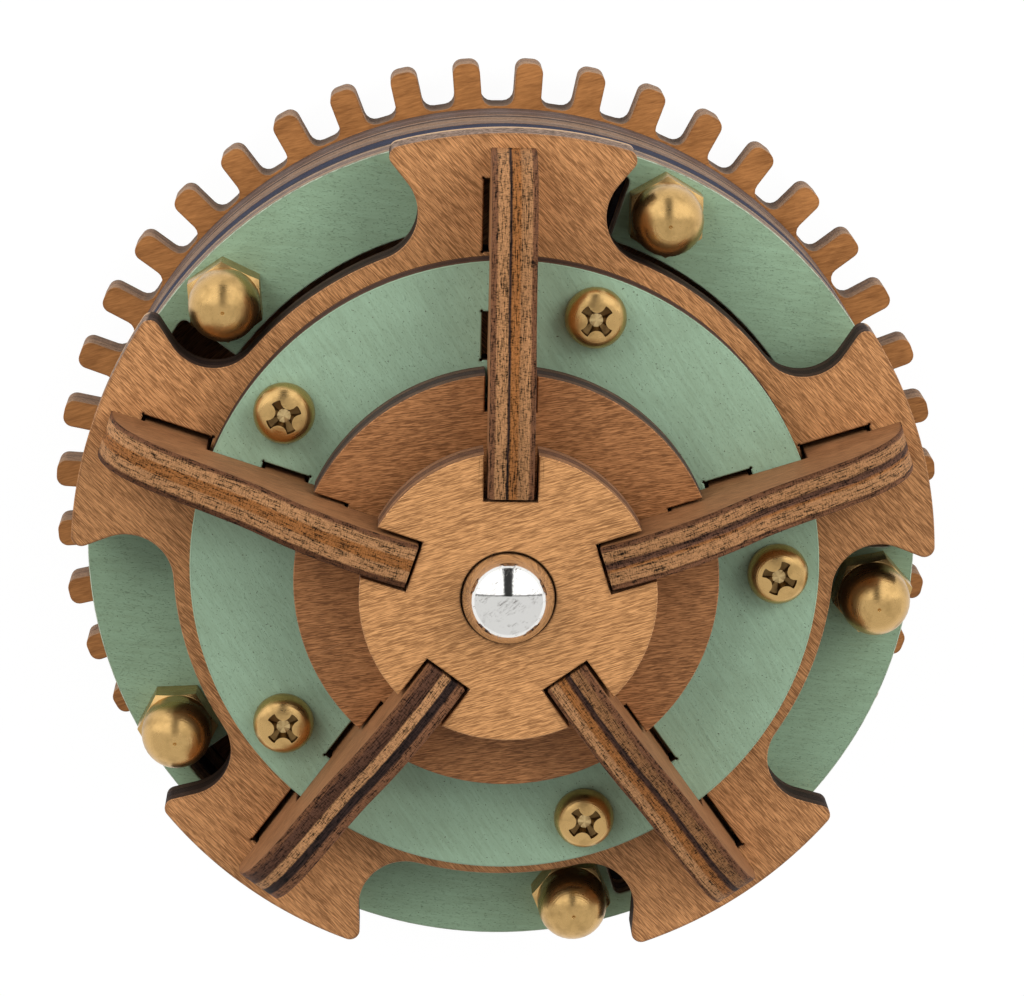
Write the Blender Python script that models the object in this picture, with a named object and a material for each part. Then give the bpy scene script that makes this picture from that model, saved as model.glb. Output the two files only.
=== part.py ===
"""Layered plywood gear mechanism.

A geared drum of stacked plywood rings turns on a fixed central bolt. In front of it a
five-armed spider, stiffened by five upright ribs, turns on the same bolt. Five domed nuts
on the drum stand in the spider's windows and limit how far the two twist against each other.
Units are metres, +Z points out of the front, and the rear flange rests on z = 0.
"""

import math

import bmesh
import bpy
from mathutils import Matrix, Vector

# Sheet material and fits
PLY = 0.0040                    # thick plywood, used for most plates
THIN_PLY = 0.0027               # thin plywood, used for the painted ring and the drum rings
RIB_PLY = 0.0044                # the ribs' plywood
CLEARANCE = 0.0003              # gap between pieces that seat on one another
RUNNING_CLEARANCE = 0.0005      # gap round the rear flange inside the gear wheel
RUNNING_GAP = 0.0021            # space between the drum front and the back of the arm plate
ARM_COUNT = 5

# Geared drum
DRUM_RADIUS = 0.0414
DRUM_RIM_WIDTH = 0.0022
GROOVE_DEPTH = 0.0009               # how far the dark ring lies inside the drum rim
GEAR_TEETH = 44
ROOT_LEDGE = 0.0005                 # from the drum rim out to the tooth roots
TOOTH_HEIGHT = 0.0042
TOOTH_WIDTH = 0.0029
TOOTH_ROOT_FILLET = 0.0012
TOOTH_PHASE = math.radians(-2.95)
CLAMP_RIM_DISTANCE = 0.0041         # from the drum rim in to the clamp screws and domed nuts
NUT_LAG = math.radians(24.0)        # rest angle from an arm back to its domed nut
SECTOR_LEDGE = 0.00455              # from the clamp screws in to the inner edge of the sectors
SECTOR_LEAD = math.radians(6.5)     # sector beyond its nut on the near side
SECTOR_TAIL = math.radians(42.0)    # sector beyond its nut on the far side
LUG_HALF_ANGLE = math.radians(7.5)
SECTOR_CORNER_RADIUS = 0.0007

# Spider, each piece set in from the one outside it
ARM_OVERHANG = 0.0012                   # of the arm plate beyond the drum rim
WINDOW_END_ANGLE = math.radians(21.7)   # from an arm to the centre of a window's round end
WINDOW_NUT_CLEARANCE = 0.0006585        # round a domed nut's corners in its window
ARM_TIP_RADIUS = 0.0010
ARM_TIP_SETBACK = math.radians(1.05)    # of a tip from where it would touch the round end
RING_LEDGE = 0.0018                     # from the window floor in to the painted ring
RING_FACE_WIDTH = 0.0102                # of the painted ring outside the mid disc
HUB_RADIUS = 0.01425
HUB_SPACER_MARGIN = 0.0005              # from the hub notches in to the hub spacer
HUB_SPACER_THICKNESS = 0.0010

# Ribs and their slots
HUB_NOTCH_DEPTH = 0.0045
MID_NOTCH_DEPTH = 0.0037
RING_SLOT_OFFSET = 0.0004       # from the mid disc rim to the ring slot
RING_SLOT_LENGTH = 0.0048
ARM_SLOT_OFFSET = 0.0002        # from the ring rim to the arm plate slot
ARM_SLOT_LENGTH = 0.0072
RIB_END_MARGIN = 0.0014         # from the rib nose to the arm plate rim
SLOT_SIDE_CLEARANCE = 0.0003
HUB_NOTCH_SIDE_CLEARANCE = 0.0004
# Crest of a rib as a chain of three curves, in shares of its length and of the hub's height
RIB_CREST_SHARES = ((0.0, 1.016), (0.176, 1.093), (0.337, 1.016), (0.465, 0.853), (0.561, 0.736),
                    (0.721, 0.721), (0.833, 0.620), (0.929, 0.519), (1.0, 0.380))

# Ball, axle and bushes
BALL_DIAMETER = 0.0090
BALL_SEAT_DIAMETER = 0.0060
AXLE_DIAMETER = 0.0060
AXLE_HEAD_HEIGHT = 0.0030       # of its countersunk head, which is as wide as a square cone makes it
AXLE_NUT_WIDTH = 0.0100
AXLE_NUT_HEIGHT = 0.0050
AXLE_END_LENGTH = 0.0005        # thread standing out of the axle nut
NUT_POCKET_CLEARANCE = 0.0010   # round the axle washer and nut, in the ring and the mid disc
WASHER_WIDTH = 0.0027
WASHER_THICKNESS = 0.0010
THRUST_WASHER_THICKNESS = 0.0007
FLANGE_DIAMETER = 0.0260
FLANGE_THICKNESS = 0.0040
BUSH_WALL = 0.0017
BUSH_FLANGE_WIDTH = 0.0020
BUSH_FLANGE_THICKNESS = 0.0008
SPACER_TUBE_WALL = 0.0012

# Clamp screws and domed nuts, and the screws of the painted ring
CLAMP_SCREW_DIAMETER = 0.0040
CLAMP_HEAD_DIAMETER = 0.0075
CLAMP_ENGAGEMENT = 0.0031       # of a clamp screw in its domed nut
DOMED_NUT_WIDTH = 0.0070
DOMED_NUT_HEX_HEIGHT = 0.0032
DOMED_NUT_HEIGHT = 0.0080
DOMED_NUT_BORE_DEPTH = 0.0055
DOME_SHOULDER = 0.0001
RING_SCREW_DIAMETER = 0.0030
RING_SCREW_HEAD_DIAMETER = 0.0060
RING_SCREW_HEAD_HEIGHT = 0.0024
RING_SCREW_RIM_DISTANCE = 0.0041        # from the painted ring's rim
RING_SCREW_LAG = math.radians(17.7)     # from an arm back to its screw in the ring
RING_NUT_WIDTH = 0.0055
RING_NUT_HEIGHT = 0.0024

# Facets
RIM_STEPS = 72
BORE_STEPS = 32
SHAFT_STEPS = 20
HOLE_STEPS = 12
SCREW_STEPS = 10
BALL_STEPS = 24

# Heights of the stack, from the resting face forwards
ARM_PITCH = math.tau / ARM_COUNT
FIRST_ARM = math.tau / 4
FLANGE_FRONT = FLANGE_THICKNESS
THRUST_WASHER_BACK = FLANGE_FRONT + CLEARANCE
THRUST_WASHER_FRONT = THRUST_WASHER_BACK + THRUST_WASHER_THICKNESS
WEB_BACK = THRUST_WASHER_FRONT + CLEARANCE
WEB_FRONT = WEB_BACK + PLY
GEAR_BACK = WEB_BACK - CLEARANCE - PLY
REAR_RING_BACK = WEB_FRONT + CLEARANCE
FRONT_RING_BACK = REAR_RING_BACK + THIN_PLY + CLEARANCE
GROOVE_RING_BACK = FRONT_RING_BACK + THIN_PLY + CLEARANCE
BASE_BACK = GROOVE_RING_BACK + THIN_PLY + CLEARANCE
BASE_FRONT = BASE_BACK + PLY
DOMED_NUT_BACK = BASE_FRONT + CLEARANCE
ARM_BACK = BASE_FRONT + RUNNING_GAP
ARM_FRONT = ARM_BACK + PLY
RING_BACK = ARM_FRONT + CLEARANCE
RING_FRONT = RING_BACK + THIN_PLY
RING_SCREW_SEAT = RING_FRONT + CLEARANCE
RING_NUT_BACK = ARM_BACK - CLEARANCE - RING_NUT_HEIGHT
MID_BACK = RING_FRONT + CLEARANCE
MID_FRONT = MID_BACK + PLY
HUB_SPACER_BACK = MID_FRONT + CLEARANCE
HUB_SPACER_FRONT = HUB_SPACER_BACK + HUB_SPACER_THICKNESS
HUB_BACK = HUB_SPACER_FRONT + CLEARANCE
HUB_FRONT = HUB_BACK + PLY
DRUM_BUSH_FRONT = WEB_FRONT + CLEARANCE + BUSH_FLANGE_THICKNESS
ARM_BUSH_BACK = ARM_BACK - CLEARANCE - BUSH_FLANGE_THICKNESS
SPACER_TUBE_BACK = DRUM_BUSH_FRONT + CLEARANCE
SPACER_TUBE_FRONT = ARM_BUSH_BACK - CLEARANCE
AXLE_WASHER_BACK = ARM_FRONT + CLEARANCE
AXLE_WASHER_FRONT = AXLE_WASHER_BACK + WASHER_THICKNESS
AXLE_NUT_BACK = AXLE_WASHER_FRONT + CLEARANCE
AXLE_LENGTH = AXLE_NUT_BACK + AXLE_NUT_HEIGHT + AXLE_END_LENGTH
CLAMP_SCREW_LENGTH = DOMED_NUT_BACK + CLAMP_ENGAGEMENT - GEAR_BACK
RING_SCREW_LENGTH = RING_SCREW_SEAT - RING_NUT_BACK

# Radii of the axle's pieces
AXLE_RADIUS = AXLE_DIAMETER / 2
AXLE_BORE_RADIUS = AXLE_RADIUS + CLEARANCE
AXLE_HEAD_RADIUS = AXLE_RADIUS + AXLE_HEAD_HEIGHT
BUSH_RADIUS = AXLE_BORE_RADIUS + BUSH_WALL
BUSH_HOLE_RADIUS = BUSH_RADIUS + CLEARANCE
BUSH_FLANGE_RADIUS = BUSH_RADIUS + BUSH_FLANGE_WIDTH
SPACER_TUBE_RADIUS = AXLE_BORE_RADIUS + SPACER_TUBE_WALL
WASHER_RADIUS = AXLE_BORE_RADIUS + WASHER_WIDTH
NUT_POCKET_RADIUS = max(WASHER_RADIUS, AXLE_NUT_WIDTH / math.sqrt(3)) + NUT_POCKET_CLEARANCE
BALL_HOLE_RADIUS = BALL_DIAMETER / 2 + CLEARANCE

# Radii of the drum and of the spider, from the drum rim inwards
GEAR_ROOT_RADIUS = DRUM_RADIUS + ROOT_LEDGE
GEAR_TIP_RADIUS = GEAR_ROOT_RADIUS + TOOTH_HEIGHT
RIM_INNER_RADIUS = DRUM_RADIUS - DRUM_RIM_WIDTH
NUT_CIRCLE_RADIUS = DRUM_RADIUS - CLAMP_RIM_DISTANCE
SECTOR_INNER_RADIUS = NUT_CIRCLE_RADIUS - SECTOR_LEDGE
CLAMP_HOLE_RADIUS = CLAMP_SCREW_DIAMETER / 2 + CLEARANCE
ARM_PLATE_RADIUS = DRUM_RADIUS + ARM_OVERHANG
WINDOW_HALF_WIDTH = DOMED_NUT_WIDTH / math.sqrt(3) + WINDOW_NUT_CLEARANCE
WINDOW_FLOOR_RADIUS = NUT_CIRCLE_RADIUS - WINDOW_HALF_WIDTH
RING_RADIUS = WINDOW_FLOOR_RADIUS - RING_LEDGE
RING_SCREW_CIRCLE_RADIUS = RING_RADIUS - RING_SCREW_RIM_DISTANCE
RING_SCREW_HOLE_RADIUS = RING_SCREW_DIAMETER / 2 + CLEARANCE
MID_DISC_RADIUS = RING_RADIUS - RING_FACE_WIDTH

# Radii of the ribs and their slots
RIB_INNER_RADIUS = HUB_RADIUS - HUB_NOTCH_DEPTH
RIB_OUTER_RADIUS = ARM_PLATE_RADIUS - RIB_END_MARGIN
HUB_NOTCH_INNER = RIB_INNER_RADIUS - CLEARANCE
HUB_SPACER_RADIUS = HUB_NOTCH_INNER - HUB_SPACER_MARGIN
MID_NOTCH_INNER = MID_DISC_RADIUS - MID_NOTCH_DEPTH
RING_SLOT_INNER = MID_DISC_RADIUS + RING_SLOT_OFFSET
RING_SLOT_OUTER = RING_SLOT_INNER + RING_SLOT_LENGTH
ARM_SLOT_INNER = RING_RADIUS + ARM_SLOT_OFFSET
ARM_SLOT_OUTER = ARM_SLOT_INNER + ARM_SLOT_LENGTH
SLOT_WIDTH = RIB_PLY + 2 * SLOT_SIDE_CLEARANCE
HUB_NOTCH_WIDTH = RIB_PLY + 2 * HUB_NOTCH_SIDE_CLEARANCE


# Outlines

def polar(radius, angle):
    return Vector((radius * math.cos(angle), radius * math.sin(angle)))


def arc(radius, start, end, steps, centre=Vector((0.0, 0.0))):
    """Points from start to end, both included."""
    return [centre + polar(radius, start + (end - start) * i / steps) for i in range(steps + 1)]


def circle(radius, steps, centre=Vector((0.0, 0.0))):
    return arc(radius, 0.0, math.tau, steps, centre)[:-1]


def turned(points, angle):
    rotation = Matrix.Rotation(angle, 2)
    return [rotation @ point for point in points]


def bezier(p0, p1, p2, p3, steps):
    """Points along a cubic curve, without its first one."""
    points = []
    for i in range(1, steps + 1):
        t = i / steps
        s = 1.0 - t
        points.append(p0 * s ** 3 + p1 * 3 * s * s * t + p2 * 3 * s * t * t + p3 * t ** 3)
    return points


def arm_angles():
    return [FIRST_ARM + i * ARM_PITCH for i in range(ARM_COUNT)]


def holes_on_circle(hole_radius, circle_radius, lag, steps=HOLE_STEPS):
    """One round hole behind each arm, by the lag angle."""
    return [circle(hole_radius, steps, polar(circle_radius, angle - lag)) for angle in arm_angles()]


def radial_slot(inner, outer, width, angle):
    half = width / 2
    corners = [Vector((inner, -half)), Vector((outer, -half)), Vector((outer, half)), Vector((inner, half))]
    return turned(corners, angle)


def notched_disc(radius, notch_inner, notch_width, steps_between):
    """A disc with one square notch in its rim at each arm."""
    half = notch_width / 2
    half_angle = math.asin(half / radius)
    points = []
    for angle in arm_angles():
        notch = [Vector((notch_inner, -half)), Vector((notch_inner, half))]
        points += turned(notch, angle)
        points += arc(radius, angle + half_angle, angle + ARM_PITCH - half_angle, steps_between)
    return points


def gear_outline():
    """Straight-sided teeth with full round tips and filleted roots."""
    pitch = math.tau / GEAR_TEETH
    half = TOOTH_WIDTH / 2
    tip_centre = GEAR_TIP_RADIUS - half
    root_half_width = GEAR_ROOT_RADIUS * math.sin(pitch / 2) - half
    fillet = min(TOOTH_ROOT_FILLET, 0.9 * root_half_width)
    fillet_centre_radius = GEAR_ROOT_RADIUS + fillet
    fillet_offset = half + fillet
    fillet_angle = math.asin(fillet_offset / fillet_centre_radius)
    fillet_x = fillet_centre_radius * math.cos(fillet_angle)
    right = arc(fillet, math.pi - fillet_angle, math.pi / 2, 2, Vector((fillet_x, -fillet_offset)))
    tip = arc(half, -math.pi / 2, math.pi / 2, 6, Vector((tip_centre, 0.0)))
    left = [Vector((point.x, -point.y)) for point in reversed(right)]
    tooth = right + tip + left
    points = []
    for i in range(GEAR_TEETH):
        points += turned(tooth, TOOTH_PHASE + i * pitch)
    return points


def arm_plate_outline():
    """Rim arcs between windows that follow the nut circle and open at the rim."""
    tip_centre_radius = ARM_PLATE_RADIUS - ARM_TIP_RADIUS
    reach = WINDOW_HALF_WIDTH + ARM_TIP_RADIUS
    cosine = (NUT_CIRCLE_RADIUS ** 2 + tip_centre_radius ** 2 - reach ** 2) / (
        2 * NUT_CIRCLE_RADIUS * tip_centre_radius)
    tip_angle = WINDOW_END_ANGLE - math.acos(min(1.0, cosine)) - ARM_TIP_SETBACK
    tip_centre = polar(tip_centre_radius, tip_angle)
    end_centre = polar(NUT_CIRCLE_RADIUS, WINDOW_END_ANGLE)
    joint = tip_centre - end_centre
    joint_angle = math.atan2(joint.y, joint.x) - math.acos(min(1.0, reach / joint.length))
    rim = arc(ARM_PLATE_RADIUS, 0.0, tip_angle, 4)
    tip = arc(ARM_TIP_RADIUS, tip_angle, joint_angle + math.pi, 5, tip_centre)
    window_end = arc(WINDOW_HALF_WIDTH, joint_angle, WINDOW_END_ANGLE - math.pi, 8, end_centre)
    window_floor = arc(WINDOW_FLOOR_RADIUS, WINDOW_END_ANGLE, ARM_PITCH / 2, 3)
    half = rim + tip[1:] + window_end + window_floor[1:]
    mirrored = [Vector((point.x, -point.y)) for point in reversed(half[1:-1])]
    points = []
    for angle in arm_angles():
        points += turned(mirrored + half, angle)
    return points


def sector_ring_outline(lead, tail):
    """Inner edge of a drum ring: a thin rim with one inward sector round each clamp screw."""
    corner = SECTOR_CORNER_RADIUS
    corner_radius = RIM_INNER_RADIUS - corner
    corner_angle = math.asin(corner / corner_radius)
    points = []
    for angle in arm_angles():
        start = angle - NUT_LAG - tail
        end = angle - NUT_LAG + lead
        next_start = start + ARM_PITCH
        after_end = end + corner_angle
        before_start = next_start - corner_angle
        points += arc(SECTOR_INNER_RADIUS, start, end, 8)
        points += arc(corner, end - math.pi / 2, after_end, 2, polar(corner_radius, after_end))
        points += arc(RIM_INNER_RADIUS, after_end, before_start, 4)[1:-1]
        points += arc(corner, before_start, next_start + math.pi / 2, 2, polar(corner_radius, before_start))
    return points


def rib_outline():
    """Side view of a rib: x is the radius and y the height. Its foot steps down into the slots."""
    length = RIB_OUTER_RADIUS - RIB_INNER_RADIUS
    height = HUB_FRONT - ARM_FRONT
    crest = [Vector((RIB_INNER_RADIUS + x * length, ARM_FRONT + y * height)) for x, y in RIB_CREST_SHARES]
    nose = Vector((RIB_OUTER_RADIUS, ARM_FRONT + CLEARANCE))
    chain = crest + [nose]
    top = [chain[0]]
    for i in range(0, len(chain) - 1, 3):
        top += bezier(chain[i], chain[i + 1], chain[i + 2], chain[i + 3], 6)
    feet = (
        (MID_NOTCH_INNER + CLEARANCE, MID_FRONT + CLEARANCE),
        (RING_SLOT_INNER + CLEARANCE, RING_FRONT + CLEARANCE),
        (RING_SLOT_OUTER - CLEARANCE, ARM_FRONT + CLEARANCE),
        (ARM_SLOT_INNER + CLEARANCE, RING_FRONT + CLEARANCE),
        (ARM_SLOT_OUTER - CLEARANCE, ARM_BACK),
        (RIB_OUTER_RADIUS, ARM_FRONT + CLEARANCE),
    )
    foot = []
    radius = RIB_INNER_RADIUS
    for end_radius, level in feet:
        foot += [Vector((radius, level)), Vector((end_radius, level))]
        radius = end_radius
    return foot[:-1] + top[::-1]


# Solids

def mesh_of(bm, name, shader):
    bmesh.ops.remove_doubles(bm, verts=bm.verts, dist=1e-7)
    bmesh.ops.recalc_face_normals(bm, faces=bm.faces)
    mesh = bpy.data.meshes.new(name)
    bm.to_mesh(mesh)
    bm.free()
    mesh.materials.append(shader)
    mesh.shade_smooth()
    mesh.set_sharp_from_angle(angle=math.radians(35))
    return mesh


def plate(outer, holes, thickness):
    """A flat sheet with straight walls, its back on z = 0."""
    bm = bmesh.new()
    for outline in [outer] + holes:
        verts = [bm.verts.new((point.x, point.y, 0.0)) for point in outline]
        for i, vert in enumerate(verts):
            bm.edges.new((verts[i - 1], vert))
    bmesh.ops.triangle_fill(bm, use_beauty=True, edges=bm.edges[:], normal=(0.0, 0.0, -1.0))
    front = bmesh.ops.extrude_face_region(bm, geom=bm.faces[:] + bm.edges[:], use_keep_orig=True)
    moved = [item for item in front["geom"] if isinstance(item, bmesh.types.BMVert)]
    bmesh.ops.translate(bm, verts=moved, vec=(0.0, 0.0, thickness))
    return bm


def turned_solid(profile, steps):
    """A profile of radius and height points turned round the z axis.

    It closes on the axis where it starts and ends there, and otherwise on itself.
    """
    bm = bmesh.new()
    verts = [bm.verts.new((radius, 0.0, height)) for radius, height in profile]
    edges = [bm.edges.new(pair) for pair in zip(verts, verts[1:])]
    if profile[0][0] > 0.0:
        edges.append(bm.edges.new((verts[-1], verts[0])))
    bmesh.ops.spin(bm, geom=verts + edges, cent=(0.0, 0.0, 0.0), axis=(0.0, 0.0, 1.0),
                   dvec=(0.0, 0.0, 0.0), angle=math.tau, steps=steps)
    bmesh.ops.remove_doubles(bm, verts=bm.verts, dist=1e-7)
    return bm


def sleeve(outer_radius, length):
    """A tube on the axle, its back on z = 0."""
    return turned_solid([(AXLE_BORE_RADIUS, 0.0), (outer_radius, 0.0), (outer_radius, length),
                         (AXLE_BORE_RADIUS, length)], SHAFT_STEPS)


def flanged_bush(neck):
    """A bush whose neck starts on z = 0 and ends at its flange."""
    end = neck + BUSH_FLANGE_THICKNESS
    return turned_solid([(AXLE_BORE_RADIUS, 0.0), (BUSH_RADIUS, 0.0), (BUSH_RADIUS, neck),
                         (BUSH_FLANGE_RADIUS, neck), (BUSH_FLANGE_RADIUS, end), (AXLE_BORE_RADIUS, end)],
                        SHAFT_STEPS)


def hexagon(width):
    """The outline of a hexagon nut: its corners and the middles of its sides."""
    return [polar(width / 2 if i % 2 else width / math.sqrt(3), i * math.tau / 12) for i in range(12)]


def loft(bm, rings, start=None, end=None):
    """Joins rings of equally many points, and closes the ends with a middle point where one is given."""
    loops = [[bm.verts.new((point.x, point.y, height)) for point in outline] for outline, height in rings]
    for lower, upper in zip(loops, loops[1:]):
        for i in range(len(lower)):
            bm.faces.new((lower[i - 1], lower[i], upper[i], upper[i - 1]))
    for height, loop in ((start, loops[0]), (end, loops[-1])):
        if height is not None:
            middle = bm.verts.new((0.0, 0.0, height))
            for i in range(len(loop)):
                bm.faces.new((loop[i - 1], loop[i], middle))


def countersunk_screw(radius, head_radius, length, steps):
    """A flat head on z = 0 with a square cone under it."""
    cone = head_radius - radius
    profile = [(0.0, 0.0), (head_radius, 0.0), (radius, cone), (radius, length), (0.0, length)]
    return turned_solid(profile, steps)


def pan_head_screw():
    """The head's seat lies on z = 0 and the shank points back."""
    radius = RING_SCREW_DIAMETER / 2
    head = RING_SCREW_HEAD_DIAMETER / 2
    height = RING_SCREW_HEAD_HEIGHT
    side = height * 0.35
    crown = [(head * math.cos(turn), side + (height - side) * math.sin(turn))
             for turn in (0.0, math.pi / 6, math.pi / 3)]
    return turned_solid([(0.0, -RING_SCREW_LENGTH), (radius, -RING_SCREW_LENGTH), (radius, 0.0), (head, 0.0)]
                        + crown + [(0.0, height)], SCREW_STEPS)


def domed_nut():
    """A hexagon with a dome on it and a blind bore from its seat, which lies on z = 0."""
    bore = circle(CLAMP_HOLE_RADIUS, 12)
    hexagon_points = hexagon(DOMED_NUT_WIDTH)
    dome_radius = DOMED_NUT_WIDTH / 2 - DOME_SHOULDER
    dome_back = DOMED_NUT_HEIGHT - dome_radius
    rings = [(bore, DOMED_NUT_BORE_DEPTH), (bore, 0.0), (hexagon_points, 0.0),
             (hexagon_points, DOMED_NUT_HEX_HEIGHT), (circle(dome_radius, 12), DOMED_NUT_HEX_HEIGHT)]
    for turn in (0.0, math.pi / 6, math.pi / 3):
        rings.append((circle(dome_radius * math.cos(turn), 12), dome_back + dome_radius * math.sin(turn)))
    bm = bmesh.new()
    loft(bm, rings, start=DOMED_NUT_BORE_DEPTH, end=DOMED_NUT_HEIGHT)
    return bm


def hexagon_nut(width, bore_radius, height):
    bore = circle(bore_radius, 12)
    sides = hexagon(width)
    bm = bmesh.new()
    loft(bm, [(bore, 0.0), (sides, 0.0), (sides, height), (bore, height), (bore, 0.0)])
    return bm


def material(name, colour, roughness, metallic=0.0):
    shader = bpy.data.materials.new(name)
    shader.use_nodes = True
    shader.diffuse_color = (*colour, 1.0)
    principled = shader.node_tree.nodes["Principled BSDF"]
    principled.inputs["Base Color"].default_value = (*colour, 1.0)
    principled.inputs["Roughness"].default_value = roughness
    principled.inputs["Metallic"].default_value = metallic
    return shader


def empty(name):
    pivot = bpy.data.objects.new(name, None)
    bpy.context.collection.objects.link(pivot)
    return pivot


def place(name, mesh, body, height=0.0, angle=0.0, radius=0.0):
    """Adds a piece to its body, turned about the body's axis and moved out along the radius."""
    obj = bpy.data.objects.new(name, mesh)
    x, y = polar(radius, angle)
    obj.location = (x, y, height)
    obj.rotation_euler = (0.0, 0.0, angle)
    obj.parent = body
    bpy.context.collection.objects.link(obj)
    return obj


def place_at_arms(name, mesh, body, height=0.0, radius=0.0, lag=0.0):
    """Adds one piece for each arm, the lag angle behind it."""
    return [place(f"{name}_{i + 1}", mesh, body, height, angle - lag, radius)
            for i, angle in enumerate(arm_angles())]


# Assembly

def build_fixed_axle(body):
    """The central bolt and the flange by which the mechanism is held or set down."""
    wood = material("flange_plywood", (0.43, 0.20, 0.09), 0.6)
    steel = material("axle_steel", (0.55, 0.55, 0.56), 0.35, 1.0)
    brass = material("axle_brass", (0.60, 0.42, 0.16), 0.35, 1.0)
    mouth = AXLE_HEAD_RADIUS + CLEARANCE * math.sqrt(2)
    flange = turned_solid([
        (mouth, 0.0), (FLANGE_DIAMETER / 2, 0.0), (FLANGE_DIAMETER / 2, FLANGE_THICKNESS),
        (AXLE_BORE_RADIUS, FLANGE_THICKNESS), (AXLE_BORE_RADIUS, mouth - AXLE_BORE_RADIUS)], BORE_STEPS)
    place("rear_flange", mesh_of(flange, "rear_flange", wood), body)
    bolt = countersunk_screw(AXLE_RADIUS, AXLE_HEAD_RADIUS, AXLE_LENGTH, SHAFT_STEPS)
    place("axle_bolt", mesh_of(bolt, "axle_bolt", steel), body)
    for name, radius, back, front, shader in (
            ("thrust_washer", WASHER_RADIUS, THRUST_WASHER_BACK, THRUST_WASHER_FRONT, brass),
            ("spacer_tube", SPACER_TUBE_RADIUS, SPACER_TUBE_BACK, SPACER_TUBE_FRONT, brass),
            ("axle_washer", WASHER_RADIUS, AXLE_WASHER_BACK, AXLE_WASHER_FRONT, steel)):
        place(name, mesh_of(sleeve(radius, front - back), name, shader), body, back)
    nut = hexagon_nut(AXLE_NUT_WIDTH, AXLE_BORE_RADIUS, AXLE_NUT_HEIGHT)
    place("axle_nut", mesh_of(nut, "axle_nut", steel), body, AXLE_NUT_BACK)


def build_gear_drum(body):
    """The toothed wheel and the rings in front of it, clamped by five screws with domed nuts."""
    gear_wood = material("gear_plywood", (0.42, 0.18, 0.07), 0.6)
    ring_wood = material("drum_plywood", (0.30, 0.16, 0.09), 0.7)
    dark_wood = material("dark_plywood", (0.03, 0.03, 0.05), 0.7)
    green = material("base_green_paint", (0.24, 0.37, 0.25), 0.6)
    brass = material("clamp_brass", (0.60, 0.42, 0.16), 0.35, 1.0)
    clamp_holes = holes_on_circle(CLAMP_HOLE_RADIUS, NUT_CIRCLE_RADIUS, NUT_LAG)

    flange_hole = circle(FLANGE_DIAMETER / 2 + RUNNING_CLEARANCE, BORE_STEPS)
    wheel = plate(gear_outline(), clamp_holes + [flange_hole], PLY)
    gear = place("gear_wheel", mesh_of(wheel, "gear_wheel", gear_wood), body, GEAR_BACK)
    cut_countersinks(gear, body)

    web = plate(circle(DRUM_RADIUS, RIM_STEPS), clamp_holes + [circle(BUSH_HOLE_RADIUS, BORE_STEPS)], PLY)
    place("drum_web", mesh_of(web, "drum_web", ring_wood), body, WEB_BACK)
    bush = flanged_bush(PLY + CLEARANCE)
    place("drum_bush", mesh_of(bush, "drum_bush", brass), body, WEB_BACK)

    lugs = sector_ring_outline(LUG_HALF_ANGLE, LUG_HALF_ANGLE)
    for name, radius, back, shader in (
            ("drum_ring_rear", DRUM_RADIUS, REAR_RING_BACK, ring_wood),
            ("drum_ring_front", DRUM_RADIUS, FRONT_RING_BACK, ring_wood),
            ("groove_ring", DRUM_RADIUS - GROOVE_DEPTH, GROOVE_RING_BACK, dark_wood)):
        ring = plate(circle(radius, RIM_STEPS), clamp_holes + [lugs], THIN_PLY)
        place(name, mesh_of(ring, name, shader), body, back)
    sectors = sector_ring_outline(SECTOR_LEAD, SECTOR_TAIL)
    base = plate(circle(DRUM_RADIUS, RIM_STEPS), clamp_holes + [sectors], PLY)
    place("base_plate", mesh_of(base, "base_plate", green), body, BASE_BACK)

    screw = countersunk_screw(CLAMP_SCREW_DIAMETER / 2, CLAMP_HEAD_DIAMETER / 2, CLAMP_SCREW_LENGTH,
                              SCREW_STEPS)
    place_at_arms("clamp_screw", mesh_of(screw, "clamp_screw", brass), body, GEAR_BACK,
                  NUT_CIRCLE_RADIUS, NUT_LAG)
    nut = domed_nut()
    place_at_arms("domed_nut", mesh_of(nut, "domed_nut", brass), body, DOMED_NUT_BACK,
                  NUT_CIRCLE_RADIUS, NUT_LAG)


def cut_countersinks(gear, body):
    """Sinks the clamp screw heads into the back of the gear wheel."""
    mouth = CLAMP_HEAD_DIAMETER / 2 + CLEARANCE * math.sqrt(2)
    overrun = CLAMP_SCREW_DIAMETER / 8
    cone = turned_solid([(0.0, -overrun), (mouth + overrun, -overrun), (overrun, mouth - overrun),
                         (0.0, mouth - overrun)], SCREW_STEPS)
    mesh = mesh_of(cone, "countersink", gear.data.materials[0])
    for cutter in place_at_arms("countersink", mesh, body, GEAR_BACK, NUT_CIRCLE_RADIUS, NUT_LAG):
        cutter.hide_render = True
        cutter.display_type = "WIRE"
        cut = gear.modifiers.new(cutter.name, "BOOLEAN")
        cut.operation = "DIFFERENCE"
        cut.solver = "EXACT"
        cut.object = cutter


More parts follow.
